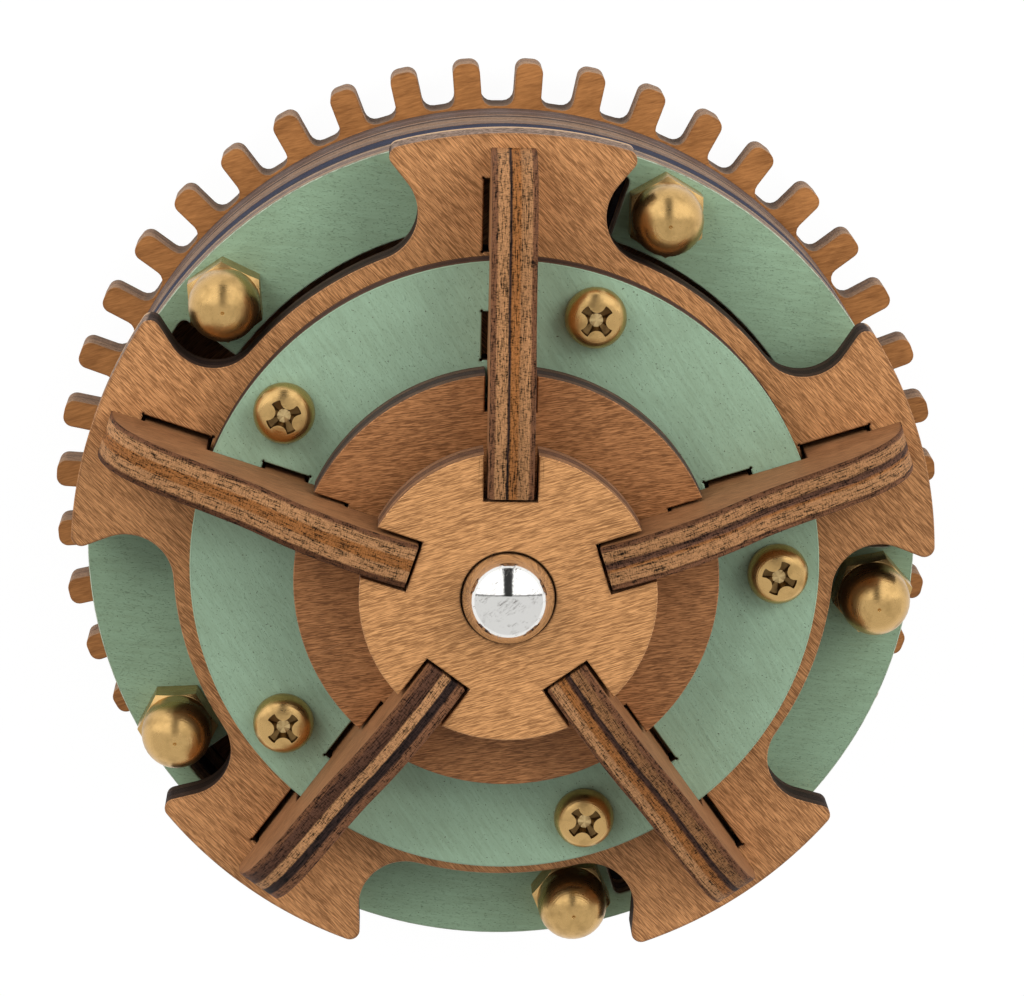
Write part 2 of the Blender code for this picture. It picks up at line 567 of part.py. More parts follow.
def build_spider(body):
    """Arm plate, painted ring, mid disc and hub, with five ribs on edge and the steel ball."""
    arm_wood = material("arm_plywood", (0.45, 0.21, 0.10), 0.6)
    mid_wood = material("mid_plywood", (0.27, 0.12, 0.05), 0.6)
    hub_wood = material("hub_plywood", (0.60, 0.34, 0.14), 0.6)
    rib_wood = material("rib_plywood", (0.35, 0.18, 0.09), 0.7)
    green = material("ring_green_paint", (0.24, 0.37, 0.25), 0.6)
    brass = material("screw_brass", (0.60, 0.42, 0.16), 0.35, 1.0)
    chrome = material("ball_steel", (0.80, 0.80, 0.80), 0.08, 1.0)
    screw_holes = holes_on_circle(RING_SCREW_HOLE_RADIUS, RING_SCREW_CIRCLE_RADIUS, RING_SCREW_LAG)
    pocket = circle(NUT_POCKET_RADIUS, BORE_STEPS)

    arm_slots = [radial_slot(ARM_SLOT_INNER, ARM_SLOT_OUTER, SLOT_WIDTH, angle) for angle in arm_angles()]
    bush_hole = circle(BUSH_HOLE_RADIUS, BORE_STEPS)
    arms = plate(arm_plate_outline(), arm_slots + screw_holes + [bush_hole], PLY)
    place("arm_plate", mesh_of(arms, "arm_plate", arm_wood), body, ARM_BACK)
    bush = flanged_bush(PLY + CLEARANCE)
    bmesh.ops.scale(bush, vec=(1.0, 1.0, -1.0), verts=bush.verts)
    place("arm_bush", mesh_of(bush, "arm_bush", brass), body, ARM_FRONT)

    ring_slots = [radial_slot(RING_SLOT_INNER, RING_SLOT_OUTER, SLOT_WIDTH, angle) for angle in arm_angles()]
    ring = plate(circle(RING_RADIUS, RIM_STEPS), ring_slots + screw_holes + [pocket], THIN_PLY)
    place("painted_ring", mesh_of(ring, "painted_ring", green), body, RING_BACK)
    disc = plate(notched_disc(MID_DISC_RADIUS, MID_NOTCH_INNER, SLOT_WIDTH, 12), [pocket], PLY)
    place("mid_disc", mesh_of(disc, "mid_disc", mid_wood), body, MID_BACK)
    spacer = plate(circle(HUB_SPACER_RADIUS, BORE_STEPS), [circle(BALL_SEAT_DIAMETER / 2, SHAFT_STEPS)],
                   HUB_SPACER_THICKNESS)
    place("hub_spacer", mesh_of(spacer, "hub_spacer", mid_wood), body, HUB_SPACER_BACK)
    ball_hole = circle(BALL_HOLE_RADIUS, BORE_STEPS)
    hub = plate(notched_disc(HUB_RADIUS, HUB_NOTCH_INNER, HUB_NOTCH_WIDTH, 10), [ball_hole], PLY)
    place("hub_disc", mesh_of(hub, "hub_disc", hub_wood), body, HUB_BACK)

    rib = plate(rib_outline(), [], RIB_PLY)
    upright = Matrix.Translation((0.0, RIB_PLY / 2, 0.0)) @ Matrix.Rotation(math.tau / 4, 4, "X")
    bmesh.ops.transform(rib, matrix=upright, verts=rib.verts)
    place_at_arms("rib", mesh_of(rib, "rib", rib_wood), body)

    screw = pan_head_screw()
    place_at_arms("ring_screw", mesh_of(screw, "ring_screw", brass), body, RING_SCREW_SEAT,
                  RING_SCREW_CIRCLE_RADIUS, RING_SCREW_LAG)
    nut = hexagon_nut(RING_NUT_WIDTH, RING_SCREW_HOLE_RADIUS, RING_NUT_HEIGHT)
    place_at_arms("ring_nut", mesh_of(nut, "ring_nut", brass), body, RING_NUT_BACK,
                  RING_SCREW_CIRCLE_RADIUS, RING_SCREW_LAG)

    ball_radius = BALL_DIAMETER / 2
    seat_height = math.sqrt((ball_radius + CLEARANCE) ** 2 - (BALL_SEAT_DIAMETER / 2) ** 2)
    ball = bmesh.new()
    bmesh.ops.create_uvsphere(ball, u_segments=BALL_STEPS, v_segments=BALL_STEPS // 2, radius=ball_radius)
    place("steel_ball", mesh_of(ball, "steel_ball", chrome), body, HUB_SPACER_FRONT + seat_height)


def main():
    for obj in list(bpy.data.objects):
        bpy.data.objects.remove(obj, do_unlink=True)
    build_fixed_axle(empty("axle_axis"))
    build_gear_drum(empty("drum_axis"))
    build_spider(empty("spider_axis"))


main()
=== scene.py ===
import math

import bmesh
import bpy
from bmesh.types import BMFace, BMVert
from mathutils import Matrix, Vector
from mathutils.geometry import interpolate_bezier


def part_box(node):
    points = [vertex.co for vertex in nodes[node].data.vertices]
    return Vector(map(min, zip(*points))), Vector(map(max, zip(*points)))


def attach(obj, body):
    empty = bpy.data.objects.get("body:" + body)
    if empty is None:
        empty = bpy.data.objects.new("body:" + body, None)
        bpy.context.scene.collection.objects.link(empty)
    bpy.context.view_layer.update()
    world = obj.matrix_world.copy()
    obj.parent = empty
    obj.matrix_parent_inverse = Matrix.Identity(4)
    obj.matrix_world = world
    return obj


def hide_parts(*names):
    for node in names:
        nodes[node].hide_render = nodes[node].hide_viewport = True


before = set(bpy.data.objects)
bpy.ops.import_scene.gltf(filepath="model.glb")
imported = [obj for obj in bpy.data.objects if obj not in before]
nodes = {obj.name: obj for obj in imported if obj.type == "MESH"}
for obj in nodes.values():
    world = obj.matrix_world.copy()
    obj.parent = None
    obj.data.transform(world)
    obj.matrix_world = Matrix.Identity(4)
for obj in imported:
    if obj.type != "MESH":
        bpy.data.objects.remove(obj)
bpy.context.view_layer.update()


# Studio: the mechanism lies on white paper, and a long lens looks down on its front at a slant.
# Two soft boxes stand above it, left and right of a narrow gap, and two weak ones fill from
# low down on either side.

MM = 0.001
hub_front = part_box("hub_disc")[1][2]
focal_pixels = 3700.0
picture_width = 1024.0

camera_data = bpy.data.cameras.new("camera")
camera_data.sensor_width = 36.0
camera_data.lens = camera_data.sensor_width * focal_pixels / picture_width
camera_data.clip_start = 0.01
camera_data.clip_end = 20.0
camera = bpy.data.objects.new("camera", camera_data)
camera_axes = Matrix(((0.999206, -0.013619, -0.037440),
                      (0.022675, 0.967103, 0.253371),
                      (0.032758, -0.254019, 0.966644)))
camera_place = Matrix.Translation((-12.98 * MM, 98.53 * MM, 338.21 * MM + hub_front))
camera.matrix_world = camera_place @ camera_axes.to_4x4()
bpy.context.scene.collection.objects.link(camera)
bpy.context.scene.camera = camera
bpy.context.scene.view_settings.view_transform = "Standard"


class Signal:
    """A number or colour inside a node tree. An expression on signals adds its Math nodes."""

    def __init__(self, web, socket):
        self.web = web
        self.socket = socket

    def maths(self, operation, first, second=0.0, clamp=False):
        settings = {"operation": operation, "use_clamp": clamp}
        return self.web.add("ShaderNodeMath", settings, {0: first, 1: second})

    def __add__(self, other):
        return self.maths("ADD", self, other)

    def __sub__(self, other):
        return self.maths("SUBTRACT", self, other)

    def __rsub__(self, other):
        return self.maths("SUBTRACT", other, self)

    def __mul__(self, other):
        return self.maths("MULTIPLY", self, other)

    __radd__ = __add__
    __rmul__ = __mul__

    def size(self):
        return self.maths("ABSOLUTE", self)

    def clamped(self):
        return self.maths("ADD", self, clamp=True)

    def rise(self, low, high):
        """0 below low, 1 above high and a smooth step between them."""
        return self.web.add("ShaderNodeMapRange", {"interpolation_type": "SMOOTHSTEP"},
                            {"Value": self, "From Min": low, "From Max": high})


class Web:
    """The node tree of a material or of the surround."""

    def __init__(self, tree):
        self.tree = tree

    def join(self, socket, value):
        if isinstance(value, Signal):
            self.tree.links.new(value.socket, socket)
        else:
            socket.default_value = value

    def add(self, kind, settings=None, values=None, output=0):
        node = self.tree.nodes.new(kind)
        for key, setting in (settings or {}).items():
            if key == "stops":
                elements = node.color_ramp.elements
                while len(elements) < len(setting):
                    elements.new(0.5)
                for element, (position, colour) in zip(elements, setting):
                    element.position = position
                    element.color = (*colour, 1.0)
            else:
                setattr(node, key, setting)
        for key, value in (values or {}).items():
            self.join(node.inputs[key], value)
        return Signal(self, node.outputs[output])

    def blend(self, share, first, second):
        pair = [value if isinstance(value, Signal) else (*value, 1.0) for value in (first, second)]
        return self.add("ShaderNodeMix", {"data_type": "RGBA"},
                        {0: share, 6: pair[0], 7: pair[1]}, output=2)


class Finish(Web):
    """A material with one Principled shader and the nodes of its pattern."""

    def __init__(self, name, roughness=0.6, metallic=0.0, specular=0.5):
        self.material = bpy.data.materials.new(name)
        self.material.use_nodes = True
        super().__init__(self.material.node_tree)
        self.shader = self.tree.nodes["Principled BSDF"]
        self.feed({"Roughness": roughness, "Metallic": metallic, "Specular IOR Level": specular})

    def feed(self, values):
        for name, value in values.items():
            self.join(self.shader.inputs[name], value)

    def relief(self, height, depth):
        """Raises the surface by depth metres where height is 1."""
        self.feed({"Normal": self.add("ShaderNodeBump", None, {"Height": height, "Distance": depth})})


def soft_box(name, place, width, length, power):
    light = bpy.data.lights.new(name, "AREA")
    light.shape = "RECTANGLE"
    light.size = width
    light.size_y = length
    light.energy = power
    lamp = bpy.data.objects.new(name, light)
    lamp.location = place
    lamp.rotation_euler = (Vector((0.0, 0.0, 0.03)) - lamp.location).to_track_quat("-Z", "Y").to_euler()
    lamp.visible_glossy = False
    bpy.context.scene.collection.objects.link(lamp)


soft_box("soft_box_left", (-0.78, 0.76, 0.62), 0.80, 0.66, 8.2)
soft_box("soft_box_right", (0.86, 0.62, 0.62), 0.80, 0.66, 8.2)
soft_box("soft_box_low_left", (-1.02, -0.26, 0.46), 0.60, 0.50, 1.8)
soft_box("soft_box_low_right", (1.02, -0.30, 0.46), 0.60, 0.50, 1.8)

# Straight rays meet white. Reflections meet the two boxes and the table in front of them, with
# the dark gap between the boxes and a thin dark line under them.
room = bpy.data.worlds.new("room")
room.use_nodes = True
bpy.context.scene.world = room
web = Web(room.node_tree)
way = web.add("ShaderNodeTexCoord")
across = web.add("ShaderNodeVectorMath", {"operation": "DOT_PRODUCT"},
                 {0: way, 1: tuple(camera_axes.col[0])}, output=1)
above = web.add("ShaderNodeVectorMath", {"operation": "DOT_PRODUCT"},
                {0: way, 1: tuple(camera_axes.col[1])}, output=1)
ragged = web.add("ShaderNodeTexNoise", None, {"Vector": way, "Scale": 26.0, "Detail": 4.0}) - 0.5
gap = (1.0 - (across.size() + ragged * 0.34).rise(0.15, 0.22)) * above.rise(0.0, 0.08)
line = 1.0 - ((above - 0.06).size() + ragged * 0.13).rise(0.012, 0.045)
mirrored = (0.77 + above.rise(0.0, 0.10) * 0.65) * (1.0 - gap * 0.97) * (1.0 - line * 0.85)
straight = web.add("ShaderNodeLightPath") + web.add("ShaderNodeLightPath", output=6)
glossy = web.add("ShaderNodeLightPath", output=3)
ambient = 0.21 + across.size().rise(0.15, 0.85) * 0.64 + above.rise(-0.3, 0.8) * 0.20
strength = ambient + straight * (1.0 - ambient) + glossy * (mirrored - ambient)
background = room.node_tree.nodes["Background"]
web.join(background.inputs["Color"], (1.0, 1.0, 1.0, 1.0))
web.join(background.inputs["Strength"], strength)

paper = Finish("white_paper", roughness=0.9)
paper.feed({"Base Color": (0.88, 0.88, 0.88, 1.0)})
path = paper.add("ShaderNodeLightPath") * 0.93 + paper.add("ShaderNodeLightPath", output=3) * 0.70
lit = paper.add("ShaderNodeEmission", None, {"Color": (1.0, 1.0, 1.0, 1.0), "Strength": 1.03})
cover = paper.add("ShaderNodeMixShader", None, {0: path.clamped(),
                                                1: Signal(paper, paper.shader.outputs[0]), 2: lit})
paper.join(paper.tree.nodes["Material Output"].inputs["Surface"], cover)
bm = bmesh.new()
bmesh.ops.create_grid(bm, x_segments=1, y_segments=1, size=3.0)
bmesh.ops.translate(bm, verts=bm.verts, vec=(0.0, 0.0, -0.3 * MM))
floor_mesh = bpy.data.meshes.new("paper_floor")
bm.to_mesh(floor_mesh)
bm.free()
floor_mesh.materials.append(paper.material)
paper_floor = bpy.data.objects.new("paper_floor", floor_mesh)
bpy.context.scene.collection.objects.link(paper_floor)


# Rear flange: a small plywood disc that holds still while the drum turns round it. It is cut by
# laser, so its face is bare wood and its wall shows scorched plies.

class Cut:
    """The line of a laser cut, drawn in millimetres from one vertex by straight runs and arcs."""

    def __init__(self, bm, x, y):
        self.bm = bm
        self.tip = bmesh.ops.create_vert(bm, co=(x, y, 0.0))["vert"][0]

    def run(self, x, y):
        self.tip = bmesh.ops.extrude_vert_indiv(self.bm, verts=[self.tip])["verts"][0]
        self.tip.co = (x, y, 0.0)
        return self

    def arc(self, x, y, turn, steps):
        swept = bmesh.ops.spin(self.bm, geom=[self.tip], cent=(x, y, 0.0), axis=(0.0, 0.0, 1.0),
                               angle=math.radians(turn), steps=steps)
        self.tip = [item for item in swept["geom_last"] if isinstance(item, BMVert)][0]
        return self


def polar(radius, degrees):
    """The point at this radius and this far round the middle."""
    angle = math.radians(degrees)
    return radius * math.cos(angle), radius * math.sin(angle)


def turn(bm, degrees, axis="Z", verts=None):
    bmesh.ops.rotate(bm, verts=verts or bm.verts, matrix=Matrix.Rotation(math.radians(degrees), 3, axis))


def hole(bm, radius, steps, x=0.0, y=0.0):
    bmesh.ops.create_circle(bm, segments=steps, radius=radius, matrix=Matrix.Translation((x, y, 0.0)))


def repeat_round(bm, count):
    """Repeats everything drawn so far, evenly round the middle."""
    bmesh.ops.spin(bm, geom=bm.verts[:] + bm.edges[:], cent=(0.0, 0.0, 0.0), axis=(0.0, 0.0, 1.0),
                   angle=math.tau * (count - 1) / count, steps=count - 1, use_duplicate=True)
    bmesh.ops.remove_doubles(bm, verts=bm.verts, dist=0.01)


def raise_half(bm, half, corner, halo):
    """Fills the drawn cuts and raises the skin by half the sheet, with a narrow corner round it.

    The scorched attribute is 1 at the cut and fades to 0 across the halo.
    """
    scorched = bm.verts.layers.float.new("scorched")
    filled = bmesh.ops.triangle_fill(bm, edges=bm.edges[:], use_beauty=True, normal=(0.0, 0.0, 1.0))
    filled = [item for item in filled["geom"] if isinstance(item, BMFace)]
    raised = bmesh.ops.extrude_face_region(bm, geom=filled)["geom"]
    skin = [item for item in raised if isinstance(item, BMFace)]
    bmesh.ops.delete(bm, geom=filled, context="FACES")
    bmesh.ops.translate(bm, verts=[item for item in raised if isinstance(item, BMVert)],
                        vec=(0.0, 0.0, half - corner))
    bmesh.ops.inset_region(bm, faces=skin, thickness=corner, depth=corner, use_boundary=True,
                           use_even_offset=True)
    for vert in bm.verts:
        vert[scorched] = 1.0
    if halo:
        bmesh.ops.inset_region(bm, faces=skin, thickness=halo, use_boundary=True, use_even_offset=True)
        for face in skin:
            for vert in face.verts:
                vert[scorched] = 0.0


def sheet(bm, back, front, corner=0.10, halo=0.35):
    """Turns the drawn cuts into a sheet between two heights, all in millimetres."""
    half = (front - back) / 2
    raise_half(bm, half, corner, halo)
    bmesh.ops.mirror(bm, geom=bm.verts[:] + bm.edges[:] + bm.faces[:], matrix=Matrix.Identity(4),
                     merge_dist=0.001, axis="Z")
    bmesh.ops.recalc_face_normals(bm, faces=bm.faces)
    keep_grain(bm, half)
    bmesh.ops.translate(bm, verts=bm.verts, vec=(0.0, 0.0, back + half))


def keep_grain(bm, half):
    """Stores where each point lies in its sheet, and sorts the faces by finish.

    0 is a flat face, 1 a cut wall and 2 the corner between them.
    """
    grain = bm.verts.layers.float_vector.new("grain")
    for vert in bm.verts:
        vert[grain] = vert.co + Vector((0.0, 0.0, half))
    for face in bm.faces:
        slope = abs(face.normal.z)
        face.material_index = 0 if slope > 0.99 else 1 if slope < 0.2 else 2


def piece(name, bm, body, slot, finishes, *replaced, sharp=32):
    """Makes the finished object, in metres, hangs it on its body and hides the CAD nodes it stands for."""
    bmesh.ops.scale(bm, vec=(MM, MM, MM), verts=bm.verts)
    mesh = bpy.data.meshes.new(name)
    bm.to_mesh(mesh)
    bm.free()
    for finish in finishes:
        mesh.materials.append(finish.material)
    mesh.shade_smooth()
    mesh.set_sharp_from_angle(angle=math.radians(sharp))
    made = bpy.data.objects.new(name, mesh)
    bpy.context.scene.collection.objects.link(made)
    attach(made, body)
    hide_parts(*(replaced or [name.removesuffix("_piece")]))
    return made


def tint(colour, factor):
    """A darker tint is also a little redder, and a lighter one paler."""
    return tuple(min(1.0, channel * factor ** power) for channel, power in zip(colour, (1.0, 1.12, 1.25)))


def height_in(finish):
    """How far a point lies from the back of its sheet, in millimetres."""
    point = finish.add("ShaderNodeAttribute", {"attribute_name": "grain"}, output=1)
    return finish.add("ShaderNodeSeparateXYZ", None, {0: point}, output=2)


def from_middle(finish):
    """How far a point lies from the middle of its piece, in millimetres."""
    point = finish.add("ShaderNodeAttribute", {"attribute_name": "grain"}, output=1)
    flat = finish.add("ShaderNodeVectorMath", {"operation": "MULTIPLY"}, {0: point, 1: (1.0, 1.0, 0.0)})
    return finish.add("ShaderNodeVectorMath", {"operation": "LENGTH"}, {0: flat}, output=1)


def over(finish, share, colour):
    """Lays one more colour over what the finish already has."""
    below = Signal(finish, finish.shader.inputs["Base Color"].links[0].from_socket)
    finish.feed({"Base Color": finish.blend(share, below, colour)})


def on_grain(finish, angle, size):
    """The point in the sheet, measured in grain sizes along and across the grain."""
    point = finish.add("ShaderNodeAttribute", {"attribute_name": "grain"}, output=1)
    return finish.add("ShaderNodeMapping", {"vector_type": "TEXTURE"},
                      {"Vector": point, "Rotation": (0.0, 0.0, math.radians(angle)), "Scale": size})


def grain_noise(finish, angle, size, detail=2.0, twist=0.0):
    return finish.add("ShaderNodeTexNoise", None, {"Vector": on_grain(finish, angle, size), "Scale": 1.0,
                                                   "Detail": detail, "Roughness": 0.62, "Distortion": twist})


def veneer(name, colour, angle, streak=(1.9, 0.16), strength=1.0, clouds=1.0, scorch=0.35):
    """Bare face veneer: short streaks along the grain, slow clouds of tone and fine pores."""
    wood = Finish(name, specular=0.3)
    length, width = streak
    streaks = grain_noise(wood, angle, (length, width, width), 2.0)
    fibres = grain_noise(wood, angle + 2.0, (length * 0.55, width * 0.6, width), 2.0)
    tone = grain_noise(wood, angle, (8.0, 3.0, 5.0), 3.0, 0.8)
    share = ((streaks - 0.5) * (1.8 * strength) + (fibres - 0.5) * (2.6 * strength)
             + (tone - 0.5) * (1.4 * clouds) + 0.5).clamped()
    shade = wood.blend(share, tint(colour, 0.62), tint(colour, 1.34))
    flecks = grain_noise(wood, angle, (1.5, 0.10, 0.3), 1.0).rise(0.52, 0.62)
    shade = wood.blend(flecks * (0.42 * strength), shade, tint(colour, 1.8))
    pores = grain_noise(wood, angle - 2.0, (1.4, 0.09, 0.3), 1.0).rise(0.57, 0.66)
    shade = wood.blend(pores * (0.34 * strength), shade, tint(colour, 0.42))
    edge = wood.add("ShaderNodeAttribute", {"attribute_name": "scorched"}, output=2)
    ragged = (edge + (fibres - 0.5) * 0.9).rise(0.35, 1.15)
    shade = wood.blend(ragged * scorch, shade, (0.070, 0.032, 0.016))
    wood.feed({"Base Color": shade, "Roughness": 0.52 + streaks * 0.20})
    wood.relief(streaks * 0.5 + fibres * 0.5, 0.000008)
    return wood


def plies(name, thickness, bands, char=0.5, soot=(0.030, 0.017, 0.014), mottle=0.7,
          speck=(0.24, 0.24, 0.11)):
    """A cut wall: the plies as bands through the sheet, under soot from the laser.

    Bands are (share of the thickness, colour), and the soot gathers in streaks along them.
    """
    wall = Finish(name, specular=0.12)
    waver = grain_noise(wall, 0.0, (1.5, 1.5, 1.2), 2.0)
    layer = height_in(wall) * (1.0 / thickness) + (waver - 0.5) * 0.04
    shade = wall.add("ShaderNodeValToRGB", {"stops": bands}, {0: layer})
    streaks = grain_noise(wall, 0.0, (1.3, 1.3, 0.11), 3.0, 0.3)
    specks = grain_noise(wall, 0.0, speck, 3.0)
    level = 1.0 + ((specks - 0.5) * 3.0 + (streaks - 0.5) * 4.5) * mottle
    shade = wall.add("ShaderNodeVectorMath", {"operation": "SCALE"}, {0: shade, "Scale": level})
    sooty = (streaks.rise(0.54, 0.66) * 0.8 + specks.rise(0.55, 0.68) * 0.5).clamped()
    shade = wall.blend(sooty * char, shade, soot)
    wall.feed({"Base Color": shade, "Roughness": 0.62 + streaks * 0.2})
    wall.relief(streaks * 0.6 + specks * 0.4, 0.00006)
    return wall


def plain_bands(light, dark):
    """Three plies: the outer ones light, the middle one across the grain and darker."""
    return ((0.0, tint(dark, 0.6)), (0.10, light), (0.29, light), (0.34, dark), (0.40, tint(dark, 1.7)),
            (0.60, tint(dark, 1.7)), (0.66, dark), (0.71, light), (0.90, light), (0.97, tint(light, 0.7)))


brown_wall = plies("laser_cut_wall", 4.0, plain_bands((0.16, 0.095, 0.060), (0.050, 0.030, 0.024)))
flange_wood = veneer("flange_veneer", (0.36, 0.18, 0.08), 12.0)
axle_hole = 3.3
flange_mouth = 6.42
cone_height = 2.5
bm = bmesh.new()
hole(bm, 13.0, 96)
hole(bm, axle_hole, 48)
sheet(bm, 0.0, 4.0)
for vert in bm.verts:
    reach = vert.co.xy.length
    if vert.co.z < cone_height and reach < 5.0:
        vert.co.xy *= (reach + flange_mouth - axle_hole - vert.co.z) / reach
piece("rear_flange_piece", bm, "axle", "flange_plywood", [flange_wood, brown_wall, flange_wood])


# Axle: a steel countersunk bolt with a hexagon socket, its nut and washer, brass thrust washer
# and spacer tube, and brass bushes in the drum and the spider. All are turned and run dry.

def on_piece(finish, size, detail, roughness=0.5, lean=0.0):
    """Noise fixed to the piece, whose size along each axis is in millimetres."""
    point = finish.add("ShaderNodeTexCoord", output=3)
    point = finish.add("ShaderNodeMapping", {"vector_type": "TEXTURE"},
                       {"Vector": point, "Rotation": (0.0, 0.0, lean),
                        "Scale": tuple(MM * value for value in size)})
    return finish.add("ShaderNodeTexNoise", None,
                      {"Vector": point, "Scale": 1.0, "Detail": detail, "Roughness": roughness})


def dress(names, finish):
    """Gives nodes that keep their CAD shape a finish."""
    for name in names:
        nodes[name].data.materials.clear()
        nodes[name].data.materials.append(finish.material)


def metal(name, colour, roughness, dark, tarnish=0.5):
    """Turned metal: fine rings from the lathe, and a slow patchy tarnish."""
    shine = Finish(name, roughness, 1.0)
    rings = on_piece(shine, (2.5, 2.5, 0.10), 3.0)
    patches = on_piece(shine, (1.6, 1.6, 1.6), 5.0, 0.6)
    specks = on_piece(shine, (0.16, 0.16, 0.16), 2.0)
    dull = (patches.rise(0.45, 0.70) * 0.7 + specks.rise(0.60, 0.75) * 0.5).clamped()
    shine.feed({"Base Color": shine.blend(dull * tarnish, colour, dark),
                "Roughness": roughness + dull * 0.16 + (rings - 0.5) * 0.12})
    shine.relief(rings * 0.6 + specks * 0.4, 0.000012)
    return shine


steel = metal("turned_steel", (0.56, 0.56, 0.57), 0.30, (0.25, 0.24, 0.23))
axle_brass = metal("turned_brass", (0.62, 0.42, 0.17), 0.32, (0.30, 0.17, 0.06))
dress(("axle_washer", "axle_nut"), steel)
dress(("thrust_washer", "spacer_tube", "drum_bush", "arm_bush"), axle_brass)


def turned(profile, steps):
    """Spins a line of (radius, height) points into a closed solid of revolution."""
    bm = bmesh.new()
    tip = bmesh.ops.create_vert(bm, co=(profile[0][0], 0.0, profile[0][1]))["vert"][0]
    for radius, level in profile[1:]:
        tip = bmesh.ops.extrude_vert_indiv(bm, verts=[tip])["verts"][0]
        tip.co = (radius, 0.0, level)
    bmesh.ops.spin(bm, geom=bm.verts[:] + bm.edges[:], cent=(0.0, 0.0, 0.0), axis=(0.0, 0.0, 1.0),
                   angle=math.tau, steps=steps, use_merge=True)
    bmesh.ops.remove_doubles(bm, verts=bm.verts, dist=0.001)
    bmesh.ops.recalc_face_normals(bm, faces=bm.faces)
    return bm


def loop_up(bm, edges, rise, scale=1.0):
    """Draws an open rim up by rise and scales it about the axis."""
    moved = bmesh.ops.extrude_edge_only(bm, edges=edges)["geom"]
    verts = [item for item in moved if isinstance(item, BMVert)]
    bmesh.ops.scale(bm, vec=(scale, scale, 1.0), verts=verts)
    bmesh.ops.translate(bm, verts=verts, vec=(0.0, 0.0, rise))
    return [item for item in moved if isinstance(item, bmesh.types.BMEdge) and item.is_boundary]


bm = bmesh.new()
hole(bm, 6.0, 48)
hole(bm, 2.3, 6)
rims = bm.edges[:]
outer_rim = [edge for edge in rims if edge.verts[0].co.length > 4.0]
socket_rim = [edge for edge in rims if edge.verts[0].co.length < 4.0]
bmesh.ops.triangle_fill(bm, edges=rims, use_beauty=True, normal=(0.0, 0.0, -1.0))
shank = loop_up(bm, outer_rim, 3.0, 0.5)
shank = loop_up(bm, shank, 32.3)
shank = loop_up(bm, shank, 0.5, 0.86)
bmesh.ops.contextual_create(bm, geom=shank)
socket_floor = loop_up(bm, socket_rim, 2.0)
bmesh.ops.contextual_create(bm, geom=socket_floor)
bmesh.ops.recalc_face_normals(bm, faces=bm.faces)
piece("axle_bolt_piece", bm, "axle", "axle_steel", [steel])


# Gear wheel: 44 straight teeth with rounded tips, cut by laser from 4 mm plywood. The drum's
# clamp screws are countersunk into its back, and it turns round the flange with a little room.

fifth = 72.0
teeth = 44
gear_back = 1.0
gear_front = 5.14
half_gear = (gear_front - gear_back) / 2
root_radius = 41.6
tip_radius = 46.02
tooth_half = 1.38
tip_corner = 1.0
root_fillet = 1.1
tooth_phase = -2.95
nut_circle = 37.3
clamp_hole = 2.3
first_nut = 90.0 - 24.0
gear_wood = veneer("gear_veneer", (0.375, 0.155, 0.046), 15.0, (2.4, 0.34), 0.45, 1.3, 0.25)
tooth_wall = plies("tooth_wall", 4.14, ((0.0, (0.050, 0.030, 0.026)), (0.08, (0.240, 0.150, 0.096)),
                                        (0.36, (0.260, 0.160, 0.102)), (0.46, (0.190, 0.116, 0.076)),
                                        (0.58, (0.290, 0.180, 0.112)), (1.0, (0.310, 0.185, 0.108))), 0.22)


# Painted shade: the tooth walls darken towards the roots, deep in the gaps between the teeth.
over(tooth_wall, (1.0 - from_middle(tooth_wall).rise(42.0, 42.5)) * 0.6, (0.110, 0.080, 0.060))


def clamp_holes(bm, radius=clamp_hole):
    for i in range(5):
        hole(bm, radius, 24, *polar(nut_circle, first_nut + fifth * i))


def gear_cuts(bm, hole_radius):
    fillet_angle = math.asin((tooth_half + root_fillet) / (root_radius + root_fillet))
    fillet_x = (root_radius + root_fillet) * math.cos(fillet_angle)
    fillet_y = tooth_half + root_fillet
    start = Vector((fillet_x, -fillet_y)) * (root_radius / (root_radius + root_fillet))
    tooth = Cut(bm, start.x, start.y)
    tooth.arc(fillet_x, -fillet_y, math.degrees(fillet_angle) - 90.0, 4)
    tooth.run(tip_radius - tip_corner, -tooth_half)
    tooth.arc(tip_radius - tip_corner, tip_corner - tooth_half, 90.0, 6)
    tooth.run(tip_radius, tooth_half - tip_corner)
    tooth.arc(tip_radius - tip_corner, tooth_half - tip_corner, 90.0, 6)
    tooth.run(fillet_x, tooth_half)
    tooth.arc(fillet_x, fillet_y, math.degrees(fillet_angle) - 90.0, 4)
    root_angle = math.tau / teeth - 2 * fillet_angle
    tooth.arc(0.0, 0.0, math.degrees(root_angle), 1)
    turn(bm, tooth_phase)
    repeat_round(bm, teeth)
    clamp_holes(bm, hole_radius)
    hole(bm, 13.5, 96)


front = bmesh.new()
gear_cuts(front, clamp_hole)
raise_half(front, half_gear, 0.06, 0.30)
back = bmesh.new()
sink = 4.15
gear_cuts(back, sink)
raise_half(back, half_gear, 0.10, 0.0)
for vert in back.verts:
    if vert.co.z < 0.001:
        for i in range(5):
            middle = Vector((*polar(nut_circle, first_nut + fifth * i), 0.0))
            if (vert.co - middle).length < sink + 0.05:
                vert.co = middle + (vert.co - middle) * (clamp_hole / sink)
bmesh.ops.scale(back, vec=(1.0, 1.0, -1.0), verts=back.verts)
back_mesh = bpy.data.meshes.new("gear_back")
back.to_mesh(back_mesh)
back.free()
front.from_mesh(back_mesh)
bpy.data.meshes.remove(back_mesh)
bmesh.ops.remove_doubles(front, verts=front.verts, dist=0.001)
bmesh.ops.recalc_face_normals(front, faces=front.faces)
keep_grain(front, half_gear)
bmesh.ops.translate(front, verts=front.verts, vec=(0.0, 0.0, gear_back + half_gear))
piece("gear_wheel_piece", front, "drum", "gear_plywood", [gear_wood, tooth_wall, gear_wood])
